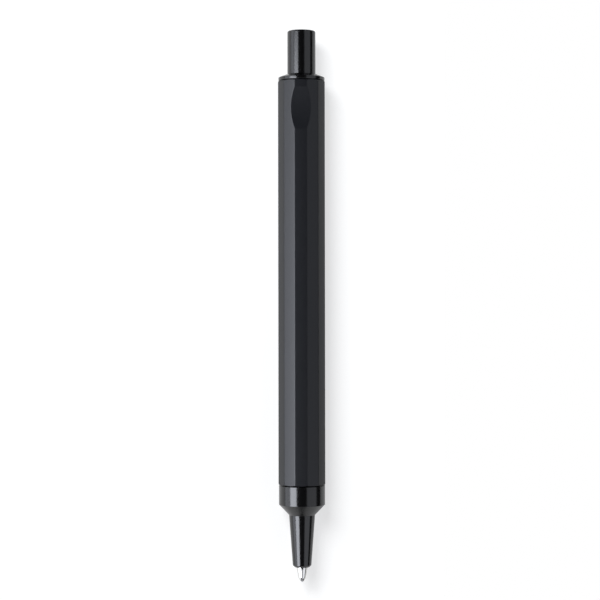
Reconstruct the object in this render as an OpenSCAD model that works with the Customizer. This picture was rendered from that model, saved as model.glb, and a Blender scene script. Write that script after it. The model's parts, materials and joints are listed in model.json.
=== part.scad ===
// Retractable ballpoint pen: twelve-sided barrel, screwed nose, refill and rotating-cam click mechanism.
// Heights are in millimetres along the pen, from the end of the ball with the tip out.

/* [Barrel] */
// Width of the barrel across its flats
barrel_af = 11.1; // [10.6:0.1:14]
// Number of flats, a multiple of four so that the pen rests on one and carries the dish on another
barrel_sides = 12; // [8:4:12]
// Length of the barrel
barrel_length = 95.9; // [70:0.05:140]
// Depth of the chamfers round the barrel's two ends, at the middle of a flat
barrel_chamfer = 0.1; // [0.05:0.05:0.5]

/* [Dish] */
// Length of the scooped dish along the barrel
dish_length = 9.9; // [5:0.1:14]
// Depth of the dish at its middle
dish_depth = 0.5; // [0.2:0.05:0.8]
// Distance of the middle of the dish from the barrel's upper end
dish_from_top = 6.65; // [5.5:0.05:30]

/* [Nose] */
// Gap between the nose ring and the barrel
joint_gap = 0.2; // [0.1:0.05:0.5]
// Diameter of the nose ring
ring_d = 11; // [10.2:0.05:13]
// Length of the nose ring
ring_length = 4.55; // [3:0.05:8]
// Chamfer on the edges of the nose ring and the end bush's collar, next to the barrel
ring_chamfer = 0.15; // [0.05:0.05:0.3]
// Length of the steep cone below the ring
cone_length = 2.5; // [1.5:0.05:4]
// Length of the long taper
taper_length = 12.4; // [11:0.05:16]
// Diameter of the taper where it meets the cone
taper_top_d = 6.2; // [5.6:0.1:7]
// Diameter of the taper at its lower end
taper_end_d = 4.45; // [4:0.05:5]
// Chamfer on the lower end of the taper
end_chamfer = 0.45; // [0.2:0.05:0.5]
// Depth of the spring's seat above the lower end of the nose
spring_seat_depth = 4; // [3.5:0.1:6]
// Wall of the spigot at its root
spigot_wall = 0.6; // [0.4:0.05:1]
// Length of the spigot's thread
thread_length = 6.2; // [4:0.1:9]
// Depth of the spigot's thread
thread_depth = 0.3; // [0.2:0.05:0.5]
// Wall of the thread insert
insert_wall = 0.64; // [0.5:0.02:0.9]
// Length of the thread insert
insert_length = 8.2; // [6:0.1:12]
// Section of the rubber ring at the spigot's root
o_ring_d = 0.9; // [0.6:0.05:1.2]

/* [Button] */
// Diameter of the button
button_d = 6.7; // [6:0.1:7.2]
// Length of button that stands out of the end bush with the tip out
button_out = 10.55; // [7:0.05:16]
// Length of button inside the end bush and below it with the tip out
button_inside = 7.9; // [7:0.05:12]
// Rounding of the button's upper edge
button_edge = 0.4; // [0.1:0.05:1]
// Radius of the button's domed end
button_dome_r = 18; // [10:1:40]
// Diameter of the plunger's stem in the button
stem_d = 4; // [3:0.1:4.4]
// Length of the plunger's stem in the button
stem_length = 12; // [6:0.5:14]

/* [End bush] */
// Diameter of the end bush's collar
collar_d = 11; // [10.2:0.05:13]
// Height of the collar's straight side
collar_side = 0.85; // [0.5:0.05:2]
// Fall of the collar's conical top from the button's hole to its side
collar_drop = 0.8; // [0.4:0.05:1.6]
// Length of the end bush's spigot in the barrel
bush_length = 5.3; // [4:0.1:6]

/* [Click mechanism] */
// Travel of the button and the refill between tip out and tip in
travel = 5; // [4:0.1:6]
// Further travel of the button when it is pressed
over_press = 1; // [0.6:0.1:1.2]
// Number of fins on the cam rotor, and of ribs in the sleeve
fin_count = 4; // [4:1:6]
// Diameter of the plunger's and the rotor's core
core_d = 4.4; // [4.2:0.1:4.8]
// Height of the plunger's keys
key_height = 2.4; // [1.5:0.1:3]
// Height of a rotor fin at its short side
fin_land = 1; // [0.6:0.1:2]
// Height of the rotor's foot below its fins
rotor_foot = 1.6; // [1:0.05:2.4]
// Number of teeth on each crown
crown_teeth = 8; // [6:1:10]
// Depth of the crown teeth
tooth_depth = 0.8; // [0.4:0.1:1]
// Diameter of the rotor's pin in the plunger
pin_d = 2; // [1.6:0.1:2.4]
// Length of the rotor's pin in the plunger
pin_length = 3; // [2:0.1:5]
// Wall of the guide sleeve
sleeve_wall = 0.3; // [0.25:0.05:0.4]
// Thickness of the sleeve's end plate, which stops the plunger's keys
sleeve_plate = 0.8; // [0.5:0.1:1.2]
// Wall of the brass housing
housing_wall = 0.3; // [0.25:0.05:0.4]
// Depth of the refill's end inside the housing
housing_overlap = 2.1; // [1.5:0.1:4]
// Height of the lock ring
lock_ring_height = 3; // [2:0.1:5]
// Width of the spanner slots in the lock ring
lock_slot = 1; // [0.6:0.1:1.6]
// Depth of the spanner slots in the lock ring
lock_slot_depth = 1; // [0.5:0.1:1.8]

/* [Refill] */
// Diameter of the refill's tube
refill_d = 5.9; // [5.6:0.05:6.2]
// Wall of the refill's tube
refill_wall = 0.3; // [0.15:0.05:0.5]
// Length of tip that stands out of the nose
tip_out = 3.6; // [3.2:0.1:4.4]
// Diameter of the tip
tip_d = 2.6; // [2.3:0.05:2.8]
// Length of the tip, to the refill's neck
tip_length = 9; // [8:0.1:9.5]
// Length of the tip's nib, ball and both cones together
nib_length = 3.2; // [2.4:0.1:3.6]
// Length of the nib's blunt front, ball and first cone together
nib_front_length = 1.1; // [0.8:0.05:1.6]
// Diameter of the nib where its two cones meet
nib_front_d = 1.8; // [1.5:0.05:2.1]
// Diameter of the ball
ball_d = 1; // [0.7:0.05:1.2]
// Length of ball that stands out of its socket
ball_out = 0.3; // [0.2:0.02:0.32]
// Wall of the socket's lip
lip_wall = 0.05; // [0.04:0.01:0.1]
// Diameter of the tip's stem in the neck
tip_stem_d = 1.9; // [1.7:0.1:2]
// Length of the tip's stem in the neck
tip_stem_length = 3.5; // [2:0.1:6]
// Diameter of the ink's way through the tip and the neck
ink_way_d = 1; // [0.6:0.1:1.2]
// Diameter of the ink's way into the socket
feed_d = 0.4; // [0.3:0.05:0.5]
// Thickness of the neck's shoulder
shoulder_length = 1.5; // [1:0.1:3]
// Length of the neck's plug in the tube
neck_plug_length = 4.5; // [3:0.1:8]
// Thickness of the end cap's flange
cap_flange = 1; // [0.6:0.1:2]
// Diameter of the end cap's neck, which carries the cam rotor
cap_neck_d = 4.2; // [3.6:0.1:4.4]
// Length of the end cap's plug in the tube
cap_plug_length = 4.6; // [3:0.1:8]
// Depth of the notches across the end cap
cap_notch_depth = 1.2; // [0.6:0.1:1.6]
// Width of the notches across the end cap
cap_notch = 0.9; // [0.6:0.1:1.4]
// Diameter of the vent through the end cap
vent_d = 1; // [0.6:0.1:1.6]
// Share of the tube that ink fills
ink_fill = 0.92; // [0.2:0.02:0.98]

/* [Return spring] */
// Diameter of the spring's wire
wire_d = 0.36; // [0.28:0.02:0.44]
// Turns of the spring
spring_turns = 12; // [8:1:13]
// Length of the spring with the tip out
spring_length = 12.2; // [11.6:0.1:16]

/* [Fits] */
// Radial clearance of the button in the end bush
button_gap = 0.1; // [0.06:0.01:0.1]
// Radial clearance of the tip in the nose
tip_gap = 0.08; // [0.05:0.01:0.1]
// Radial clearance of the nose thread in its insert
thread_gap = 0.06; // [0.04:0.01:0.1]
// Radial clearance of turning and sliding cores
core_gap = 0.08; // [0.05:0.01:0.1]
// Clearance between pieces that are fitted and stay put
seat_gap = 0.05; // [0.02:0.01:0.06]
// Clearance of the ball in its socket
ball_gap = 0.02; // [0.01:0.005:0.03]
// Wider clearance round the refill, the spring and the rubber ring's neighbours
free_gap = 0.15; // [0.12:0.01:0.2]
// Clearance between the cam's fins, ribs, keys and crowns
cam_gap = 0.15; // [0.1:0.01:0.25]

/* [Hidden] */
$fn = 96;
tiny = 0.01;

// Heights of the outside, from the ball up
nose_z = tip_out;
taper_z = nose_z + taper_length;
ring_z = taper_z + cone_length;
ring_top_z = ring_z + ring_length;
mouth_z = ring_top_z + joint_gap;
barrel_top_z = mouth_z + barrel_length;
collar_z = barrel_top_z + seat_gap;
top_z = collar_z + collar_side + collar_drop;
button_z = top_z + button_out;

// Heights of the click mechanism, from the end bush down
bush_z = collar_z - bush_length;
button_low_z = top_z - button_inside;
plate_top_z = button_low_z - over_press - cam_gap;
plate_z = plate_top_z - sleeve_plate;
key_top_z = plate_z - travel - seat_gap;
key_z = key_top_z - key_height;
fin_top_z = key_z - 2 * cam_gap;
crown_z = fin_top_z + cam_gap;

// The cam rotor turns by half the pitch of its fins over the travel, so its fins climb along a helix
fin_share = 0.25;
rib_share = 0.55;
cam_pitch = 360 / fin_count;
fin_width = cam_pitch * fin_share;
rib_width = cam_pitch * rib_share;
climb = travel / (cam_pitch / 2);
fin_rise = fin_width * climb;
fin_z = fin_top_z - fin_rise - fin_land;
rib_z = fin_top_z - fin_rise + 2 * cam_gap - climb * (rib_width - fin_width) / 2;
rotor_z = fin_z - rotor_foot;
refill_top_z = rotor_z - seat_gap;
housing_z = refill_top_z - housing_overlap;
lock_ring_z = housing_z - lock_ring_height;

// Heights of the refill and the spring
spring_z = nose_z + spring_seat_depth;
shoulder_z = spring_z + spring_length;
tube_z = shoulder_z + shoulder_length;
cap_flange_z = rib_z - travel - 2 * free_gap;
tube_top_z = cap_flange_z - cap_flange;
neck_top_z = tube_z + neck_plug_length;
cap_z = tube_top_z - cap_plug_length;
ink_top_z = neck_top_z + ink_fill * (cap_z - neck_top_z);
well_z = shoulder_z - over_press - 2 * free_gap;

// Radii, from the refill outwards
refill_r = refill_d / 2;
tube_bore_r = refill_r - refill_wall;
core_r = core_d / 2;
button_r = button_d / 2;
sleeve_bore_r = max(refill_r + 2 * free_gap, button_r + button_gap);
sleeve_r = sleeve_bore_r + sleeve_wall;
housing_bore_r = sleeve_r + seat_gap;
housing_r = housing_bore_r + housing_wall;
bore_r = housing_r + seat_gap;
fin_r = sleeve_bore_r - cam_gap;
rib_bore_r = core_r + cam_gap;
spigot_bore_r = refill_r + free_gap;
spigot_root_r = spigot_bore_r + spigot_wall;
thread_r = spigot_root_r + thread_depth;
insert_bore_r = thread_r + thread_gap;
mouth_r = insert_bore_r + insert_wall;
tip_bore_r = tip_d / 2 + tip_gap;
coil_r = tip_d / 2 + free_gap + wire_d / 2;
chamber_r = coil_r + wire_d / 2 + free_gap;

// Heights of the screwed joint: the rubber ring lies between the nose ring and the insert
o_ring_r = (spigot_root_r + mouth_r) / 2;
o_ring_z = ring_top_z + seat_gap + o_ring_d / 2;
insert_z = max(mouth_z, o_ring_z + o_ring_d / 2) + free_gap;
insert_top_z = insert_z + insert_length;
thread_z = insert_z + free_gap;
spigot_top_z = thread_z + thread_length;

// The lip of the ball's socket closes to less than the ball's own radius
ball_r = ball_d / 2;
socket_r = ball_r + ball_gap;
lip_bore_r = sqrt(socket_r ^ 2 - (ball_r - ball_out) ^ 2);
lip_r = lip_bore_r + lip_wall;

// Scoop whose arc gives the dish its length and depth
scoop_r = (dish_length ^ 2 / 4 + dish_depth ^ 2) / (2 * dish_depth);

// Centre line of the spring's wire, from its seat to the refill's shoulder
rings_per_turn = 24;
wire_sides = 6;
spring_rings = spring_turns * rings_per_turn + 1;
spring_low_z = spring_z + wire_d / 2 + seat_gap;
spring_rise = spring_length - wire_d - 2 * seat_gap;
spring_line = [
    for (i = [0 : spring_rings - 1])
        let (angle = 360 * i / rings_per_turn)
            [coil_r * cos(angle), coil_r * sin(angle), spring_low_z + spring_rise * i / (spring_rings - 1)]
];
spring_clear = min([
    for (i = [0 : spring_rings - 1])
        for (j = [i + rings_per_turn / 2 : min(i + 2 * rings_per_turn, spring_rings - 1)])
            norm(spring_line[j] - spring_line[i])
]) - wire_d;
echo(refill_length = refill_top_z, overall_length = button_z, spring_clear = spring_clear);

// Lay the pen down on a flat, with the tip towards -Y and the dish upwards
module lay() {
    translate([0, -button_z / 2, barrel_af / 2])
        rotate([-90, 0, 0])
            children();
}

// Closed tube through rings of points, each ring listed from outwards to upwards
module ring_sweep(rings) {
    sides = len(rings[0]);
    last = len(rings) - 1;
    points = [for (ring = rings) each ring];
    skin = [
        for (i = [0 : last - 1])
            for (k = [0 : sides - 1])
                let (a = i * sides + k, b = i * sides + (k + 1) % sides)
                    each [[a, b, b + sides], [a, b + sides, a + sides]]
    ];
    start_cap = [for (k = [1 : sides - 2]) [0, k + 1, k]];
    end_cap = [for (k = [1 : sides - 2]) [last * sides, last * sides + k, last * sides + k + 1]];
    polyhedron(points = points, faces = concat(skin, start_cap, end_cap), convexity = 8);
}

// Sector between two radii, whose lower and upper heights can climb with the angle
module climbing_sector(r_in, r_out, width, low, low_climb, high, high_climb) {
    steps = 6;
    ring_sweep([
        for (i = [0 : steps])
            let (
                angle = -width / 2 + width * i / steps,
                turn = width * i / steps,
                z0 = low + low_climb * turn,
                z1 = high + high_climb * turn
            )
                [
                    [r_in * cos(angle), r_in * sin(angle), z0],
                    [r_out * cos(angle), r_out * sin(angle), z0],
                    [r_out * cos(angle), r_out * sin(angle), z1],
                    [r_in * cos(angle), r_in * sin(angle), z1]
                ]
    ]);
}

// Tube or disc between two heights
module ring(r_out, r_in, z0, z1) {
    translate([0, 0, z0])
        difference() {
            cylinder(r = r_out, h = z1 - z0);
            translate([0, 0, -tiny])
                cylinder(r = r_in, h = z1 - z0 + 2 * tiny);
        }
}

// V-shaped gaps that leave a crown of teeth on a face, cut upwards (up = 1) or downwards (up = -1)
module crown_cuts(z, up) {
    gap_share = 0.6;
    gap_width = gap_share * PI * core_d / crown_teeth;
    for (i = [0 : crown_teeth - 1])
        rotate([0, 0, 360 * i / crown_teeth])
            translate([0, 0, z])
                rotate([90, 0, 90])
                    linear_extrude(core_d)
                        polygon([
                            [-gap_width / 2, -up * tiny],
                            [gap_width / 2, -up * tiny],
                            [0, up * tooth_depth]
                        ]);
}

// Outline of the barrel from the axis out, with a chamfer at each end
module barrel_outline() {
    corner_r = barrel_af / 2 / cos(180 / barrel_sides) + tiny;
    end_r = barrel_af / 2 - barrel_chamfer;
    polygon([
        [0, mouth_z],
        [end_r, mouth_z],
        [corner_r, mouth_z + corner_r - end_r],
        [corner_r, barrel_top_z - corner_r + end_r],
        [end_r, barrel_top_z],
        [0, barrel_top_z]
    ]);
}

module barrel() {
    corner_d = barrel_af / cos(180 / barrel_sides);
    color("#26272b")
        lay()
            difference() {
                intersection() {
                    translate([0, 0, mouth_z])
                        rotate([0, 0, 180 / barrel_sides])
                            cylinder(d = corner_d, h = barrel_length, $fn = barrel_sides);
                    rotate_extrude()
                        barrel_outline();
                }
                translate([0, 0, mouth_z - tiny])
                    cylinder(r = mouth_r, h = insert_top_z - mouth_z + tiny);
                translate([0, 0, mouth_z])
                    cylinder(r = bore_r, h = barrel_length + tiny);
                translate([0, dish_depth - barrel_af / 2 - scoop_r, barrel_top_z - dish_from_top])
                    rotate([0, 90, 0])
                        cylinder(r = scoop_r, h = 2 * barrel_af, center = true, $fn = 360);
            }
}

module thread_insert() {
    color("#b08d3c")
        lay()
            ring(mouth_r - seat_gap / 2, insert_bore_r, insert_z, insert_top_z);
}

// Turned end bush: a spigot in the barrel, and a collar whose conical top the button comes out of
module button_bush() {
    hole_r = button_r + button_gap;
    collar_r = collar_d / 2;
    color("#1d1e21")
        lay()
            rotate_extrude()
                polygon([
                    [hole_r, bush_z],
                    [housing_r, bush_z],
                    [housing_r, collar_z],
                    [collar_r - ring_chamfer, collar_z],
                    [collar_r, collar_z + ring_chamfer],
                    [collar_r, collar_z + collar_side],
                    [hole_r, top_z]
                ]);
}

module mechanism_housing() {
    color("#b08d3c")
        lay()
            ring(housing_r, housing_bore_r, housing_z, bush_z);
}

// Sleeve with an end plate, and ribs whose lower ends climb with the cam rotor's helix
module guide_sleeve() {
    color("#e8e4d8")
        lay()
            union() {
                ring(sleeve_r, sleeve_bore_r, housing_z, bush_z);
                ring(sleeve_bore_r + sleeve_wall / 2, core_r + core_gap, plate_z, plate_top_z);
                for (i = [0 : fin_count - 1])
                    rotate([0, 0, i * cam_pitch])
                        climbing_sector(
                            rib_bore_r, sleeve_bore_r + sleeve_wall / 2, rib_width,
                            rib_z, climb, plate_z + sleeve_plate / 2, 0
                        );
            }
}

module lock_ring() {
    color("#b08d3c")
        lay()
            difference() {
                ring(housing_r, refill_r + free_gap, lock_ring_z, housing_z);
                translate([-2 * housing_r, -lock_slot / 2, lock_ring_z - tiny])
                    cube([4 * housing_r, lock_slot, lock_slot_depth + tiny]);
            }
}

// Turned button whose side, rounded edge and domed end run into each other
module button() {
    height = button_z - button_low_z;
    edge_r = button_r - button_edge;
    edge_z = height - button_dome_r + sqrt((button_dome_r - button_edge) ^ 2 - edge_r ^ 2);
    color("#1d1e21")
        lay()
            difference() {
                translate([0, 0, button_low_z])
                    rotate_extrude()
                        union() {
                            square([button_r, edge_z]);
                            translate([edge_r, edge_z])
                                intersection() {
                                    circle(r = button_edge);
                                    square(button_edge);
                                }
                            intersection() {
                                translate([0, height - button_dome_r])
                                    circle(r = button_dome_r, $fn = 360);
                                square([edge_r * button_dome_r / (button_dome_r - button_edge), height]);
                            }
                        }
                translate([0, 0, button_low_z - tiny])
                    cylinder(d = stem_d + seat_gap, h = stem_length + seat_gap + tiny);
            }
}

// Keyed push piece: crown below, keys that run between the sleeve's ribs, and a stem in the button
module plunger() {
    key_width = fin_width;
    key_root_r = core_r / 2;
    color("#e8e4d8")
        lay()
            difference() {
                union() {
                    translate([0, 0, crown_z])
                        cylinder(r = core_r, h = button_low_z - crown_z);
                    translate([0, 0, button_low_z - tiny])
                        cylinder(d = stem_d, h = stem_length + tiny);
                    for (i = [0 : fin_count - 1])
                        rotate([0, 0, (i + 0.5) * cam_pitch - key_width / 2])
                            rotate_extrude(angle = key_width)
                                translate([key_root_r, key_z])
                                    square([fin_r - key_root_r, key_height]);
                }
                translate([0, 0, crown_z - tiny])
                    cylinder(d = pin_d + 2 * core_gap, h = pin_length + cam_gap);
                crown_cuts(crown_z, 1);
            }
}

// Turning cam: foot on the refill, fins that climb along the helix, crown and pin above
module cam_rotor() {
    fin_root_r = 0.8 * core_r;
    color("#e8e4d8")
        lay()
            union() {
                difference() {
                    translate([0, 0, rotor_z])
                        cylinder(r = core_r, h = fin_top_z - rotor_z);
                    crown_cuts(fin_top_z, -1);
                }
                translate([0, 0, rotor_z])
                    cylinder(d = pin_d, h = fin_top_z - rotor_z + pin_length);
                for (i = [0 : fin_count - 1])
                    rotate([0, 0, i * cam_pitch])
                        climbing_sector(fin_root_r, fin_r, fin_width, fin_z, 0, fin_z + fin_land, climb);
            }
}

module refill_end_cap() {
    color("#3a3f46")
        lay()
            difference() {
                union() {
                    translate([0, 0, tube_top_z])
                        cylinder(r = refill_r, h = cap_flange);
                    translate([0, 0, cap_flange_z - tiny])
                        cylinder(d = cap_neck_d, h = refill_top_z - cap_flange_z + tiny);
                    translate([0, 0, cap_z])
                        cylinder(r = tube_bore_r - seat_gap / 2, h = cap_plug_length + tiny);
                }
                translate([0, 0, cap_z - tiny])
                    cylinder(d = vent_d, h = refill_top_z - cap_z + 2 * tiny);
                for (angle = [0, 90])
                    rotate([0, 0, angle])
                        translate([-refill_d, -cap_notch / 2, refill_top_z - cap_notch_depth])
                            cube([2 * refill_d, cap_notch, cap_notch_depth + tiny]);
            }
}

module refill_tube() {
    color("#a9abae")
        lay()
            ring(refill_r, tube_bore_r, tube_z, tube_top_z);
}

module refill_ink() {
    color("#10131f")
        lay()
            translate([0, 0, neck_top_z])
                cylinder(r = tube_bore_r - seat_gap / 2, h = ink_top_z - neck_top_z);
}

module refill_neck() {
    color("#b08d3c")
        lay()
            difference() {
                union() {
                    translate([0, 0, tip_length])
                        cylinder(d = tip_d, h = shoulder_z - tip_length + tiny);
                    translate([0, 0, shoulder_z])
                        cylinder(r = refill_r, h = shoulder_length);
                    translate([0, 0, tube_z - tiny])
                        cylinder(r = tube_bore_r - seat_gap / 2, h = neck_plug_length + tiny);
                }
                translate([0, 0, tip_length - tiny])
                    cylinder(d = ink_way_d, h = neck_top_z - tip_length + 2 * tiny);
                translate([0, 0, tip_length - tiny])
                    cylinder(d = tip_stem_d + seat_gap, h = tip_stem_length + seat_gap);
            }
}

// Tip with a nib of two cones, the ball's socket, and a stem in the refill's neck
module refill_tip() {
    color("#c9cacb")
        lay()
            difference() {
                rotate_extrude()
                    polygon([
                        [0, ball_out],
                        [lip_r, ball_out],
                        [nib_front_d / 2, nib_front_length],
                        [tip_d / 2, nib_length],
                        [tip_d / 2, tip_length],
                        [tip_stem_d / 2, tip_length],
                        [tip_stem_d / 2, tip_length + tip_stem_length],
                        [0, tip_length + tip_stem_length]
                    ]);
                translate([0, 0, ball_r])
                    sphere(r = socket_r);
                translate([0, 0, ball_r])
                    cylinder(d = feed_d, h = nib_length);
                translate([0, 0, nib_length])
                    cylinder(d = ink_way_d, h = tip_length + tip_stem_length);
            }
}

module refill_ball() {
    color("#8d9094")
        lay()
            translate([0, 0, ball_r])
                sphere(r = ball_r);
}

module return_spring() {
    wire_r = wire_d / 2;
    color("#b9bcc0")
        lay()
            ring_sweep([
                for (i = [0 : spring_rings - 1])
                    let (angle = 360 * i / rings_per_turn)
                        [
                            for (k = [0 : wire_sides - 1])
                                let (side = 360 * k / wire_sides, out = wire_r * cos(side))
                                    spring_line[i] + [out * cos(angle), out * sin(angle), wire_r * sin(side)]
                        ]
            ]);
}

module nose_o_ring() {
    color("#151515")
        lay()
            rotate_extrude()
                translate([o_ring_r, o_ring_z])
                    circle(d = o_ring_d);
}

module nose_cone() {
    ring_r = ring_d / 2;
    taper_end_r = taper_end_d / 2;
    color("#1d1e21")
        lay()
            rotate_extrude()
                polygon([
                    [tip_bore_r, nose_z],
                    [taper_end_r - end_chamfer, nose_z],
                    [taper_end_r, nose_z + end_chamfer],
                    [taper_top_d / 2, taper_z],
                    [ring_r, ring_z],
                    [ring_r, ring_top_z - ring_chamfer],
                    [ring_r - ring_chamfer, ring_top_z],
                    [spigot_root_r, ring_top_z],
                    [spigot_root_r, thread_z],
                    [thread_r, thread_z + thread_depth],
                    [thread_r, spigot_top_z - thread_depth],
                    [spigot_root_r, spigot_top_z],
                    [spigot_bore_r, spigot_top_z],
                    [spigot_bore_r, well_z],
                    [chamber_r, well_z],
                    [chamber_r, spring_z],
                    [tip_bore_r, spring_z]
                ]);
}

barrel();
thread_insert();
button_bush();
mechanism_housing();
guide_sleeve();
lock_ring();
button();
plunger();
cam_rotor();
refill_end_cap();
refill_tube();
refill_ink();
refill_neck();
refill_tip();
refill_ball();
return_spring();
nose_o_ring();
nose_cone();
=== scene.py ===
"""Looks of a retractable ballpoint pen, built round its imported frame.

Outlines are in millimetres: a radius from the pen's axis and a height along it from the end of the ball.
Everything that Blender holds is in metres.
"""

import json
import math

import bpy
import numpy as np
from mathutils import Matrix, Vector


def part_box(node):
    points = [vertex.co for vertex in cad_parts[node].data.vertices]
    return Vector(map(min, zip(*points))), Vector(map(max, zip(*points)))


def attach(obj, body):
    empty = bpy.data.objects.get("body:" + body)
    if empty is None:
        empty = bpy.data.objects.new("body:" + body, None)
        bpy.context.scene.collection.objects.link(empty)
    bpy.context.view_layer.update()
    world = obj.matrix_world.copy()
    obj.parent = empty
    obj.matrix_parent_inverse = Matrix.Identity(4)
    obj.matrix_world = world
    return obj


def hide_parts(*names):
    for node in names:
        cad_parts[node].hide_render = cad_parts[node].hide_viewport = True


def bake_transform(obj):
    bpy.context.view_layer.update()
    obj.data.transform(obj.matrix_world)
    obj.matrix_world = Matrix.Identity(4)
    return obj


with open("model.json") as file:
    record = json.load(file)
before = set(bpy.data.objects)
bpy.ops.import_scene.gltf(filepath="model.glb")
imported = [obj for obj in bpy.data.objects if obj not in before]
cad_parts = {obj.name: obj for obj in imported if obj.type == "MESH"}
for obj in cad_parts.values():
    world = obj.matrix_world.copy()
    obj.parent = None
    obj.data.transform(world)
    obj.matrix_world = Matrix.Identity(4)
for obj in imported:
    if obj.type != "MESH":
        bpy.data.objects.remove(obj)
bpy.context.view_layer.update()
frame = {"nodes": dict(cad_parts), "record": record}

MM = 0.001

# The pen's axis and the end of its ball, from the frame
BARREL_LOW, BARREL_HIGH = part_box("barrel")
AXIS_Z = (BARREL_LOW.z + BARREL_HIGH.z) / 2
BALL_END_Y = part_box("refill_ball")[0].y


def heights(node):
    """Lower and upper end of a CAD node along the pen."""
    low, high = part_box(node)
    return (low.y - BALL_END_Y) / MM, (high.y - BALL_END_Y) / MM


def radius(node):
    """Outer radius of a CAD node, or half its width across flats."""
    low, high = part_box(node)
    return (high.x - low.x) / 2 / MM


# Sizes that the frame gives
FLAT_R = radius("barrel")
MOUTH_S, TOP_S = heights("barrel")
BUSH_S, BUSH_TOP_S = heights("button_bush")
COLLAR_R = radius("button_bush")
HOUSING_R = radius("mechanism_housing")
NOSE_S, SPIGOT_TOP_S = heights("nose_cone")
RING_R = radius("nose_cone")
BUTTON_R = radius("button")
BUTTON_LOW_S, BUTTON_TOP_S = heights("button")
TIP_R = radius("refill_tip")
TIP_LOW_S, TIP_STEM_TOP_S = heights("refill_tip")
BALL_R = radius("refill_ball")
INSERT_R = radius("thread_insert")
INSERT_S, INSERT_TOP_S = heights("thread_insert")
NECK_S = heights("refill_neck")[0]
SPRING_R = radius("return_spring")
SPRING_S, SPRING_TOP_S = heights("return_spring")

# Fillets of the edges, from crisp to soft
CRISP_EDGE = 0.06
RING_EDGE = 0.08
PLAIN_EDGE = 0.1
CONE_EDGE = 0.12

# Barrel: twelve slightly crowned flats with softened edges, chamfered ends and a scooped dish
SIDES = 12
EDGE_ROUND = 0.6
FLAT_CROWN = 0.02
BARREL_CHAMFER = 0.06
SEAT_GAP = 0.05
DISH_LENGTH = 9.9
DISH_DEPTH = 0.5
DISH_SOFT = 0.05
DISH_FROM_TOP = 6.65
DISH_S = TOP_S - DISH_FROM_TOP
SCOOP_R = (DISH_LENGTH ** 2 / 4 + DISH_DEPTH ** 2) / (2 * DISH_DEPTH)

# Half the angle of a facet, and the tangent of the angle where its flat part ends
HALF_FACET = math.pi / SIDES
FLAT_END = math.tan(HALF_FACET) * (1 - EDGE_ROUND / FLAT_R)

# Rows and columns of the barrel's mesh, close together round the dish
DISH_FACETS = (2, 3, 4)
DISH_COLUMNS = 44
PLAIN_COLUMNS = 8
CORNER_COLUMNS = 4
DISH_ROWS = 140
DISH_MARGIN = 0.6
PLAIN_ROWS = 12
PLAIN_MARGIN = 0.4

# End bush: collar with a conical top round the button
COLLAR_SIDE = 0.85
COLLAR_DROP = 0.8
COLLAR_ROUND = 0.2
COLLAR_EDGE = 0.3
BUTTON_GAP = 0.1

# Nose: ring, steep cone, long taper and spigot, with the spring's chamber inside
RING_LENGTH = 4.55
CONE_LENGTH = 2.5
TAPER_TOP_R = 3.1
TAPER_END_R = 2.225
END_CHAMFER = 0.45
JOINT_GAP = 0.2
SPIGOT_ROOT_R = 3.7
SPIGOT_BORE_R = 3.1
WELL_S = 18.5
CHAMBER_R = 1.96
CHAMBER_FLOOR = 4
TIP_BORE_R = 1.38

# Screw thread on the spigot, which fades out at both ends
THREAD_R = 4.0
THREAD_PITCH = 0.75
THREAD_LEAD_IN = 0.15
THREAD_RELIEF = 0.1
THREAD_S = INSERT_S + THREAD_LEAD_IN
THREAD_TOP_S = SPIGOT_TOP_S - THREAD_RELIEF
THREAD_FADE = 0.4
THREAD_SLOPE = 3
THREAD_VALLEY = 0.35
THREAD_MARGIN = 0.05
ROWS_PER_PITCH = 12

# Button with a slightly domed end
BUTTON_EDGE = 0.4
BUTTON_DOME_R = 18
STEM_BORE_R = 2.025
STEM_BORE_DEPTH = 12.05

# Tip: two cones, a stem, and a lip that holds the ball in its socket
NIB_LENGTH = 3.2
NIB_FRONT_LENGTH = 1.1
NIB_FRONT_R = 0.9
NIB_BLEND = 2.0
TIP_STEM_STEP = 0.35
SOCKET_R = 0.52
LIP_R = 0.53
LIP_WALL = 0.05
LIP_CHAMFER_WIDE = 0.04
LIP_CHAMFER_LONG = 0.05
LIP_EDGE = 0.03
FEED_R = 0.2
INK_WAY_R = 0.5

# Spring whose end turns are closed
WIRE_R = 0.18
WIRE_SIDES = 12
SPRING_TURNS = 12
STEPS_PER_TURN = 48
CLOSED_GAP = 0.04

# Noise in the finishes: its detail, and the range that most of it lies in
NOISE_DETAIL = 2.0
NOISE_LOW, NOISE_HIGH = 0.3, 0.7

# Size of the clouds of roughness, as a share of the clouds of tone
ROUGH_CLOUD = 0.7

# Turning lines: length of the texture's bands at scale 1, and how the lines wander
BAND_LENGTH = math.pi / 10
LINE_WANDER = 0.6
LINE_WANDER_SCALE = 0.5

# Floor: edges in metres, drop in millimetres, grey, and glow to the camera and in reflections; in
# reflections the glow is painted light on the left and painted shade on the right
FLOOR_LEFT, FLOOR_RIGHT = -0.13, 0.034
FLOOR_NEAR, FLOOR_FAR = -0.165, 0.13
FLOOR_DROP = 0.02
FLOOR_GREY = 0.42
FLOOR_GLOW = 0.63
PAINTED_LIGHT_LEFT, PAINTED_SHADE_RIGHT = 0.50, 0.35

# Tints of the lights that reflections show and of the others, and the glow of the room
MIRRORED_TINT = (0.89, 0.92, 1.0)
PLAIN_TINT = (0.97, 0.985, 1.0)
ROOM_GLOW = 0.04


def place(r, angle, s):
    """Point of the frame at a radius, an angle from +X towards +Z, and a height along the pen."""
    return (r * math.cos(angle) * MM, BALL_END_Y + s * MM, AXIS_Z + r * math.sin(angle) * MM)


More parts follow.
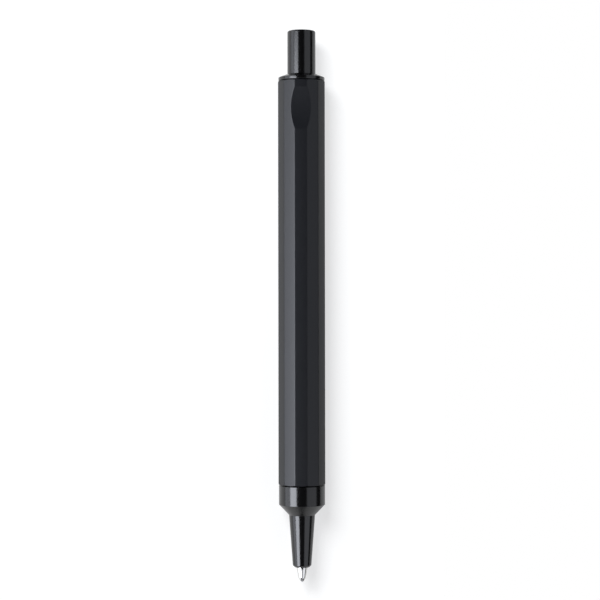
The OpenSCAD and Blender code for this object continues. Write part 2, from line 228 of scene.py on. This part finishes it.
def rounded(corners, steps=5):
    """Points along an outline.

    A corner is (radius, height) or, with a third number, a fillet of that size.
    """
    points = []
    count = len(corners)
    for i, corner in enumerate(corners):
        at = np.array(corner[:2], float)
        if len(corner) < 3:
            points.append(at)
            continue
        back = np.array(corners[i - 1][:2], float) - at
        on = np.array(corners[(i + 1) % count][:2], float) - at
        back /= np.linalg.norm(back)
        on /= np.linalg.norm(on)
        half = math.acos(float(np.clip(back @ on, -1, 1))) / 2
        middle = back + on
        middle /= np.linalg.norm(middle)
        centre = at + middle * corner[2] / math.sin(half)
        start = at + back * corner[2] / math.tan(half) - centre
        end = at + on * corner[2] / math.tan(half) - centre
        for k in range(steps + 1):
            blend = start * (1 - k / steps) + end * k / steps
            points.append(centre + blend / np.linalg.norm(blend) * corner[2])
    return points


def arc(centre, size, start, end, steps=8):
    """Points along an arc about (radius, height), between two angles from the pen's axis."""
    turns = np.linspace(start, end, steps + 1)
    return [np.array((centre[0] + size * math.sin(t), centre[1] + size * math.cos(t))) for t in turns]


def grid_mesh(name, grid, poles):
    """Closed mesh from a grid of points [row][column].

    Every row closes round. The first and last row are poles, or meet as a ring.
    """
    rows, columns = len(grid), len(grid[0])
    verts, index = [], []
    for i, row in enumerate(grid):
        single = poles and i in (0, rows - 1)
        index.append([len(verts)] * columns if single else [len(verts) + k for k in range(columns)])
        verts += row[:1] if single else row
    faces = []
    for i in range(rows - 1 if poles else rows):
        low, high = index[i], index[(i + 1) % rows]
        for k in range(columns):
            j = (k + 1) % columns
            corners = [low[k], high[k], high[j], low[j]]
            faces.append(tuple(dict.fromkeys(corners)))
    mesh = bpy.data.meshes.new(name)
    mesh.from_pydata(verts, [], faces)
    mesh.validate()
    mesh.shade_smooth()
    piece = bpy.data.objects.new(name, mesh)
    bpy.context.scene.collection.objects.link(piece)
    return piece


def area_normals(piece):
    """Shade by large faces first, so that flats stay flat and only the fillets bend."""
    mesh = piece.data
    total = np.zeros((len(mesh.vertices), 3))
    for face in mesh.polygons:
        total[list(face.vertices)] += np.array(face.normal) * face.area
    total /= np.linalg.norm(total, axis=1, keepdims=True)
    mesh.normals_split_custom_set_from_vertices(total.tolist())


def lathe(name, outline, columns=128, poles=False, swell=None):
    """Turn an outline about the pen's axis. swell adds to the radius at an angle and a height."""
    turns = [2 * math.pi * k / columns for k in range(columns)]
    grid = []
    for r, s in outline:
        grid.append([place(r + (swell(r, a, s) if swell else 0), a, s) for a in turns])
    piece = grid_mesh(name, grid, poles)
    area_normals(piece)
    return piece


def facet_angles():
    """Angles round the barrel, close together on the dish's facets and on every softened edge."""
    edge = math.atan(FLAT_END)
    span = 2 * (HALF_FACET - edge)
    angles = []
    for facet in range(SIDES):
        middle = 2 * HALF_FACET * facet
        count = DISH_COLUMNS if facet in DISH_FACETS else PLAIN_COLUMNS
        for k in range(count + 1):
            angles.append(middle + math.atan(FLAT_END * (2 * k / count - 1)))
        angles += [middle + edge + span * k / CORNER_COLUMNS for k in range(1, CORNER_COLUMNS)]
    return angles


def barrel_radius(angle):
    """Distance from the axis to the barrel's outside: crowned flats, with arcs for edges."""
    off = (angle + HALF_FACET) % (2 * HALF_FACET) - HALF_FACET
    if abs(math.tan(off)) <= FLAT_END:
        return FLAT_R / math.cos(off) - FLAT_CROWN * (math.tan(off) / FLAT_END) ** 2
    away = HALF_FACET - abs(off)
    centre = (FLAT_R - EDGE_ROUND) / math.cos(HALF_FACET)
    edge = centre * math.cos(away) + math.sqrt(EDGE_ROUND ** 2 - (centre * math.sin(away)) ** 2)
    return edge - FLAT_CROWN


def scooped(point):
    """Lower a point of the barrel's outside into the dish, with a softened rim."""
    x, y, z = point
    middle = BALL_END_Y + DISH_S * MM
    scoop_r = SCOOP_R * MM
    if z < AXIS_Z or abs(y - middle) >= scoop_r:
        return point
    floor_z = AXIS_Z + (FLAT_R - DISH_DEPTH) * MM + scoop_r - math.sqrt(scoop_r ** 2 - (y - middle) ** 2)
    soft = DISH_SOFT * MM
    gap = max(soft - abs(z - floor_z), 0)
    return (x, y, min(z, floor_z) - gap ** 2 / (4 * soft))


def make_barrel():
    """Faceted tube, one column of points after another: mouth, side, top and bore."""
    bore_r = HOUSING_R + SEAT_GAP
    mouth_r = INSERT_R + SEAT_GAP / 2
    end_r = FLAT_R - BARREL_CHAMFER
    dish_low = DISH_S - DISH_LENGTH / 2 - DISH_MARGIN
    dish_high = DISH_S + DISH_LENGTH / 2 + DISH_MARGIN
    dish_rows = list(np.linspace(dish_low, dish_high, DISH_ROWS))
    inside = [(bore_r, INSERT_TOP_S), (mouth_r, INSERT_TOP_S)]
    columns = []
    for angle in facet_angles():
        out = barrel_radius(angle)
        chamfer = out - end_r
        side_low = MOUTH_S + chamfer + PLAIN_MARGIN
        side = list(np.linspace(side_low, dish_low - PLAIN_MARGIN, PLAIN_ROWS)) + dish_rows
        lower = rounded([
            (mouth_r, MOUTH_S), (end_r, MOUTH_S), (out, MOUTH_S + chamfer, CRISP_EDGE), (out, side_low),
        ])[:-1]
        upper = rounded([
            (out, dish_high), (out, TOP_S - chamfer, CRISP_EDGE), (end_r, TOP_S), (bore_r, TOP_S),
        ])[1:]
        column = [place(r, angle, s) for r, s in lower]
        column += [scooped(place(out, angle, s)) for s in side]
        column += [place(r, angle, s) for r, s in upper + inside]
        columns.append(column)
    grid = [list(row) for row in zip(*columns)]
    piece = grid_mesh("barrel_shell", grid, poles=False)
    area_normals(piece)
    return piece


def make_bush():
    """Spigot in the barrel, and the collar above it."""
    hole_r = BUTTON_R + BUTTON_GAP
    collar_s = BUSH_TOP_S - COLLAR_DROP - COLLAR_SIDE
    outline = rounded([
        (hole_r, BUSH_S),
        (HOUSING_R, BUSH_S, PLAIN_EDGE),
        (HOUSING_R, collar_s),
        (COLLAR_R, collar_s, COLLAR_EDGE),
        (COLLAR_R, BUSH_TOP_S - COLLAR_DROP, COLLAR_ROUND),
        (hole_r, BUSH_TOP_S, CRISP_EDGE),
    ], steps=8)
    return lathe("end_bush_turned", outline)


def thread_swell(r, angle, s):
    """Height of the nose's screw thread above the spigot's root."""
    if r != SPIGOT_ROOT_R or not THREAD_S < s < THREAD_TOP_S:
        return 0
    phase = ((s - THREAD_S) / THREAD_PITCH + angle / (2 * math.pi)) % 1
    ridge = min(max((0.5 - abs(phase - 0.5)) * THREAD_SLOPE - THREAD_VALLEY, 0), 1)
    fade = min((s - THREAD_S) / THREAD_FADE, (THREAD_TOP_S - s) / THREAD_FADE, 1)
    return (THREAD_R - SPIGOT_ROOT_R) * ridge * fade


def make_nose():
    """Outside from the writing end up to the threaded spigot, then the bores back down."""
    ring_top = MOUTH_S - JOINT_GAP
    ring_s = ring_top - RING_LENGTH
    taper_s = ring_s - CONE_LENGTH
    chamber_s = NOSE_S + CHAMBER_FLOOR
    row_step = THREAD_PITCH / ROWS_PER_PITCH
    thread_rows = np.arange(THREAD_S - THREAD_MARGIN, THREAD_TOP_S + THREAD_MARGIN, row_step)
    outline = rounded([
        (TIP_BORE_R, NOSE_S, CRISP_EDGE),
        (TAPER_END_R - END_CHAMFER, NOSE_S, CRISP_EDGE),
        (TAPER_END_R, NOSE_S + END_CHAMFER, PLAIN_EDGE),
        (TAPER_TOP_R, taper_s, CONE_EDGE),
        (RING_R, ring_s, CONE_EDGE),
        (RING_R, ring_top, RING_EDGE),
        (SPIGOT_ROOT_R, ring_top, PLAIN_EDGE),
    ])
    outline += [np.array((SPIGOT_ROOT_R, s)) for s in thread_rows]
    outline += rounded([
        (SPIGOT_ROOT_R, SPIGOT_TOP_S),
        (SPIGOT_BORE_R, SPIGOT_TOP_S),
        (SPIGOT_BORE_R, WELL_S),
        (CHAMBER_R, WELL_S),
        (CHAMBER_R, chamber_s),
        (TIP_BORE_R, chamber_s),
    ])
    return lathe("nose_turned", outline, swell=thread_swell)


def make_button():
    """Blind bore for the plunger's stem, then the outside up to the dome."""
    edge_r = BUTTON_R - BUTTON_EDGE
    dome_s = BUTTON_TOP_S - BUTTON_DOME_R
    edge_s = dome_s + math.sqrt((BUTTON_DOME_R - BUTTON_EDGE) ** 2 - edge_r ** 2)
    meet = math.asin(edge_r / (BUTTON_DOME_R - BUTTON_EDGE))
    bore_s = BUTTON_LOW_S + STEM_BORE_DEPTH
    outline = rounded([
        (0, bore_s), (STEM_BORE_R, bore_s), (STEM_BORE_R, BUTTON_LOW_S),
        (BUTTON_R, BUTTON_LOW_S, PLAIN_EDGE), (BUTTON_R, edge_s),
    ])[:-1]
    outline += arc((edge_r, edge_s), BUTTON_EDGE, math.pi / 2, meet)
    outline += arc((0, dome_s), BUTTON_DOME_R, meet, 0)[1:]
    return lathe("button_turned", outline, poles=True)


def make_tip():
    """Outside from the lip up to the stem, then the ink way and the ball's socket back down."""
    stem_r = TIP_R - TIP_STEM_STEP
    outline = [np.array((LIP_R - LIP_WALL, TIP_LOW_S))]
    outline += rounded([
        (LIP_R - LIP_CHAMFER_WIDE, TIP_LOW_S),
        (LIP_R, TIP_LOW_S + LIP_CHAMFER_LONG, LIP_EDGE),
        (NIB_FRONT_R, NIB_FRONT_LENGTH, NIB_BLEND),
        (TIP_R, NIB_LENGTH, NIB_BLEND),
        (TIP_R, NECK_S),
        (stem_r, NECK_S),
        (stem_r, TIP_STEM_TOP_S),
        (INK_WAY_R, TIP_STEM_TOP_S),
        (INK_WAY_R, NIB_LENGTH),
        (FEED_R, NIB_LENGTH),
    ], steps=10)
    deep = math.asin(FEED_R / SOCKET_R)
    lip = math.acos((TIP_LOW_S - BALL_R) / SOCKET_R)
    outline += arc((0, BALL_R), SOCKET_R, deep, lip)[:-1]
    return lathe("tip_turned", outline, columns=96)


def make_ball():
    """Writing ball, from its lower pole to its upper one."""
    return lathe("writing_ball", arc((0, BALL_R), BALL_R, math.pi, 0, steps=24), columns=48, poles=True)


def make_spring():
    """Wound wire whose end turns close up, as a ground spring's do."""
    coil_r = SPRING_R - WIRE_R
    low, high = SPRING_S + WIRE_R, SPRING_TOP_S - WIRE_R
    closed = 2 * WIRE_R + CLOSED_GAP
    climb = (high - low - 2 * closed) / (SPRING_TURNS - 2)
    grid = []
    for i in range(SPRING_TURNS * STEPS_PER_TURN + 1):
        turn = i / STEPS_PER_TURN
        if turn < 1:
            s = low + closed * turn
        elif turn > SPRING_TURNS - 1:
            s = high - closed * (SPRING_TURNS - turn)
        else:
            s = low + closed + climb * (turn - 1)
        angle = 2 * math.pi * turn
        ring = []
        for k in range(WIRE_SIDES):
            side = 2 * math.pi * k / WIRE_SIDES
            ring.append(place(coil_r + WIRE_R * math.cos(side), angle, s - WIRE_R * math.sin(side)))
        grid.append(ring)
    first, last = [[tuple(np.mean(ring, axis=0))] * WIRE_SIDES for ring in (grid[0], grid[-1])]
    return grid_mesh("return_spring_wire", [first, *grid, last], poles=True)


def shader(name):
    """New material and its principled shader."""
    material = bpy.data.materials.new(name)
    material.use_nodes = True
    return material, material.node_tree.nodes["Principled BSDF"]


def wire(material, value, socket):
    """Link a socket to another, or set it to a value."""
    if isinstance(value, bpy.types.NodeSocket):
        material.node_tree.links.new(value, socket)
    else:
        socket.default_value = value


def node(material, kind, inputs=None, **settings):
    """Add a node, with sockets set to values or linked from other sockets."""
    made = material.node_tree.nodes.new(kind)
    for key, value in settings.items():
        setattr(made, key, value)
    for key, value in (inputs or {}).items():
        wire(material, value, made.inputs[key])
    return made


def maths(material, operation, first, second):
    """Result of an operation on two numbers."""
    return node(material, "ShaderNodeMath", {0: first, 1: second}, operation=operation).outputs[0]


def position(material):
    """Place on the piece, in metres."""
    return node(material, "ShaderNodeTexCoord").outputs["Object"]


def noise(material, size_mm):
    """Noise whose features are about this size."""
    made = node(material, "ShaderNodeTexNoise", {
        "Vector": position(material), "Scale": 1 / (size_mm * MM), "Detail": NOISE_DETAIL,
    })
    return made.outputs["Fac"]


def spread(material, value, low, high):
    """Map the middle of a noise to a range of values."""
    made = node(material, "ShaderNodeMapRange", {
        "Value": value, "From Min": NOISE_LOW, "From Max": NOISE_HIGH, "To Min": low, "To Max": high,
    })
    return made.outputs["Result"]


def tones(material, value, dark, light):
    """Colour between two tones."""
    made = node(material, "ShaderNodeMix", data_type="RGBA")
    wire(material, value, made.inputs["Factor"])
    wire(material, (*dark, 1), made.inputs["A"])
    wire(material, (*light, 1), made.inputs["B"])
    return made.outputs["Result"]


def bump(material, height, depth_mm, normal=None):
    """Normal that follows a height, on top of another normal if there is one."""
    made = node(material, "ShaderNodeBump", {
        "Height": height, "Distance": depth_mm * MM, "Strength": 1.0,
    })
    if normal:
        wire(material, normal, made.inputs["Normal"])
    return made.outputs["Normal"]


def turning_lines(material, pitch_mm):
    """Fine grooves round the axis, as a lathe leaves them."""
    made = node(material, "ShaderNodeTexWave", {
        "Vector": position(material), "Scale": BAND_LENGTH / (pitch_mm * MM),
        "Distortion": LINE_WANDER, "Detail": NOISE_DETAIL, "Detail Scale": LINE_WANDER_SCALE,
    }, wave_type="BANDS", bands_direction="Y")
    return made.outputs["Fac"]


def surface(name, dark, light, rough, metallic=0.0, ior=1.5, cloud_mm=0.5, grain=None, turned=None):
    """Finish with clouded tones and roughness, and a bump from grain and turning lines.

    Grain and turning lines are each a size and a depth in millimetres.
    """
    material, bsdf = shader(name)
    cloud = noise(material, cloud_mm)
    wire(material, tones(material, cloud, dark, light), bsdf.inputs["Base Color"])
    rough_cloud = noise(material, cloud_mm * ROUGH_CLOUD)
    wire(material, spread(material, rough_cloud, *rough), bsdf.inputs["Roughness"])
    bsdf.inputs["Metallic"].default_value = metallic
    bsdf.inputs["IOR"].default_value = ior
    normal = None
    if grain:
        normal = bump(material, noise(material, grain[0]), grain[1])
    if turned:
        normal = bump(material, turning_lines(material, turned[0]), turned[1], normal)
    if normal:
        wire(material, normal, bsdf.inputs["Normal"])
    return material


# Finish of each slot: dark and light tone, range of roughness, and what else it shows
MATERIALS = {
    "barrel_anodised": surface("satin_anodised", (0.0028, 0.0032, 0.0048), (0.0042, 0.0049, 0.0070),
                               (0.34, 0.40), ior=1.47, grain=(0.07, 0.002)),
    "turned_anodised": surface("turned_anodised", (0.0008, 0.0008, 0.0010), (0.0014, 0.0014, 0.0018),
                               (0.15, 0.19), ior=1.6, turned=(0.07, 0.0004)),
    "brass": surface("turned_brass", (0.60, 0.42, 0.16), (0.72, 0.53, 0.22),
                     (0.22, 0.32), metallic=1.0, turned=(0.08, 0.001)),
    "acetal": surface("moulded_acetal", (0.76, 0.74, 0.67), (0.84, 0.82, 0.76),
                      (0.38, 0.48), ior=1.48, grain=(0.12, 0.002)),
    "cap_plastic": surface("moulded_cap", (0.045, 0.05, 0.06), (0.065, 0.07, 0.085),
                           (0.28, 0.38), grain=(0.12, 0.002)),
    "refill_steel": surface("drawn_steel", (0.52, 0.53, 0.54), (0.63, 0.64, 0.65),
                            (0.20, 0.30), metallic=1.0, grain=(0.05, 0.001)),
    "spring_wire": surface("wound_wire", (0.55, 0.56, 0.57), (0.66, 0.67, 0.68),
                           (0.18, 0.28), metallic=1.0, cloud_mm=0.2, grain=(0.05, 0.001)),
    "nickel_silver": surface("nickel_silver", (0.78, 0.77, 0.74), (0.85, 0.84, 0.81),
                             (0.10, 0.14), metallic=1.0, turned=(0.05, 0.0003)),
    "carbide": surface("ground_carbide", (0.80, 0.80, 0.80), (0.90, 0.90, 0.90),
                       (0.42, 0.50), metallic=1.0, cloud_mm=0.1, grain=(0.03, 0.0003)),
    "ink": surface("wet_ink", (0.008, 0.010, 0.026), (0.012, 0.014, 0.036),
                   (0.06, 0.12), ior=1.4, grain=(0.3, 0.002)),
    "rubber": surface("moulded_rubber", (0.014, 0.014, 0.015), (0.022, 0.022, 0.023),
                      (0.55, 0.68), grain=(0.08, 0.003)),
}

SLOT_OF = {row["node"]: row["material_slot"] for row in frame["record"]["subparts"]}


def dress(piece, stands_for):
    """Give a piece its node's finish."""
    piece.data.materials.clear()
    piece.data.materials.append(MATERIALS[SLOT_OF[stands_for]])


for name, obj in frame["nodes"].items():
    dress(obj, name)

# Finer pieces, each with the CAD node that it replaces and the body that it rides
REPLACED = [
    (make_barrel, "barrel", "barrel"),
    (make_bush, "button_bush", "barrel"),
    (make_nose, "nose_cone", "nose"),
    (make_button, "button", "button"),
    (make_tip, "refill_tip", "refill"),
    (make_ball, "refill_ball", "ball"),
]
for make, stands_for, body in REPLACED:
    piece = make()
    dress(piece, stands_for)
    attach(piece, body)
    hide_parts(stands_for)

# The spring reaches from the barrel to the refill
spring = make_spring()
dress(spring, "return_spring")
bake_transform(spring)
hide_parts("return_spring")


def make_floor():
    """Pale sheet that keeps the shadow and shows white to the camera.

    In reflections its glow is painted light: brighter on the left, where the light comes from, and
    dimmer on the right as painted shade where the pen's shadow falls.
    It ends near the pen on the right, where the reflections are dark.
    """
    mesh = bpy.data.meshes.new("floor")
    corners = [
        (FLOOR_LEFT, FLOOR_NEAR),
        (FLOOR_RIGHT, FLOOR_NEAR),
        (FLOOR_RIGHT, FLOOR_FAR),
        (FLOOR_LEFT, FLOOR_FAR),
    ]
    mesh.from_pydata([(x, y, -FLOOR_DROP * MM) for x, y in corners], [], [(0, 1, 2, 3)])
    floor = bpy.data.objects.new("floor", mesh)
    bpy.context.scene.collection.objects.link(floor)
    material, bsdf = shader("pale_floor")
    bsdf.inputs["Base Color"].default_value = (FLOOR_GREY, FLOOR_GREY, FLOOR_GREY, 1)
    bsdf.inputs["Roughness"].default_value = 1.0
    bsdf.inputs["Specular IOR Level"].default_value = 0.0
    ray = node(material, "ShaderNodeLightPath").outputs
    mirrored = maths(material, "MAXIMUM", ray["Is Glossy Ray"], ray["Is Transmission Ray"])
    x = node(material, "ShaderNodeSeparateXYZ", {"Vector": position(material)}).outputs["X"]
    # Painted light and shade in reflections: the glow fades from the lit left to the shaded right
    side = node(material, "ShaderNodeMapRange", {
        "Value": x, "From Min": -FLAT_R * MM, "From Max": FLAT_R * MM,
        "To Min": PAINTED_LIGHT_LEFT, "To Max": PAINTED_SHADE_RIGHT,
    }).outputs["Result"]
    mirrored = maths(material, "MULTIPLY", mirrored, side)
    seen = maths(material, "MULTIPLY", ray["Is Camera Ray"], FLOOR_GLOW)
    strength = maths(material, "MAXIMUM", seen, mirrored)
    bsdf.inputs["Emission Color"].default_value = (1, 1, 1, 1)
    wire(material, strength, bsdf.inputs["Emission Strength"])
    mesh.materials.append(material)


def soft_light(name, lean, away, size, radiance, along=0.0, mirrored=True, shadows=True):
    """Soft light over the pen, leaning this many degrees from straight above, towards +X.

    Its distance, its size and its place along the pen are in metres.
    It can be left out of the reflections, or shine in the reflections alone.
    """
    turn = math.radians(lean)
    wide, long = size
    lamp = bpy.data.lights.new(name, "AREA")
    lamp.shape = "RECTANGLE"
    lamp.size = wide
    lamp.size_y = long
    lamp.energy = radiance * math.pi * wide * long
    lamp.color = MIRRORED_TINT if mirrored else PLAIN_TINT
    light = bpy.data.objects.new(name, lamp)
    light.location = (away * math.sin(turn), along, away * math.cos(turn))
    light.rotation_euler = (0, turn, 0)
    light.visible_camera = False
    light.visible_glossy = mirrored
    light.visible_diffuse = shadows
    bpy.context.scene.collection.objects.link(light)


def make_world():
    """Dim studio that the camera sees as white."""
    world = bpy.data.worlds.new("studio")
    world.use_nodes = True
    bpy.context.scene.world = world
    background = world.node_tree.nodes["Background"]
    path = world.node_tree.nodes.new("ShaderNodeLightPath")
    strength = world.node_tree.nodes.new("ShaderNodeMapRange")
    strength.inputs["To Min"].default_value = ROOM_GLOW
    strength.inputs["To Max"].default_value = 1.0
    world.node_tree.links.new(path.outputs["Is Camera Ray"], strength.inputs["Value"])
    background.inputs["Color"].default_value = (1, 1, 1, 1)
    world.node_tree.links.new(strength.outputs["Result"], background.inputs["Strength"])


def make_camera():
    """Camera straight above the pen, as in the photograph.

    The lens is set for a picture 600 pixels wide, in which a pixel is 0.2381 mm at the pen's axis.
    """
    image_width, pixel_mm, away_mm = 600, 0.2381, 428
    middle_s, axis_right_px = 67.14, 1.75
    roll, tilt = math.radians(1.9), math.radians(-0.08)
    data = bpy.data.cameras.new("camera")
    data.sensor_width = 36
    data.lens = data.sensor_width * away_mm / (image_width * pixel_mm)
    data.clip_start = 0.01
    camera = bpy.data.objects.new("camera", data)
    aim = Vector(place(0, 0, middle_s))
    turn = Matrix.Rotation(roll, 4, "Y") @ Matrix.Rotation(tilt, 4, "Z")
    aim += turn.to_3x3() @ Vector((-axis_right_px * pixel_mm * MM, 0, 0))
    camera.matrix_world = Matrix.Translation(aim) @ turn @ Matrix.Translation((0, 0, away_mm * MM))
    bpy.context.scene.collection.objects.link(camera)
    bpy.context.scene.camera = camera


make_floor()
soft_light("key", lean=-42, away=0.6, size=(0.36, 0.7), radiance=7.5, along=-0.208, shadows=False)
soft_light("key_tail", lean=-42, away=0.6, size=(0.36, 0.45), radiance=0.4, along=0.367, shadows=False)
soft_light("left_wall", lean=-76, away=0.7, size=(0.36, 1.8), radiance=1.95)
soft_light("fill", lean=52, away=0.6, size=(0.58, 1.8), radiance=0.68)
soft_light("fill_front", lean=52, away=0.64, size=(0.58, 0.6), radiance=0.3, along=-0.46, shadows=False)
soft_light("front_card", lean=0, away=0.45, size=(0.5, 1.04), radiance=0.4, along=-0.78, shadows=False)
soft_light("overhead", lean=-22, away=1.3, size=(0.8, 0.8), radiance=15, along=0.9, mirrored=False)
make_world()
make_camera()

bpy.context.scene.view_settings.view_transform = "Standard"
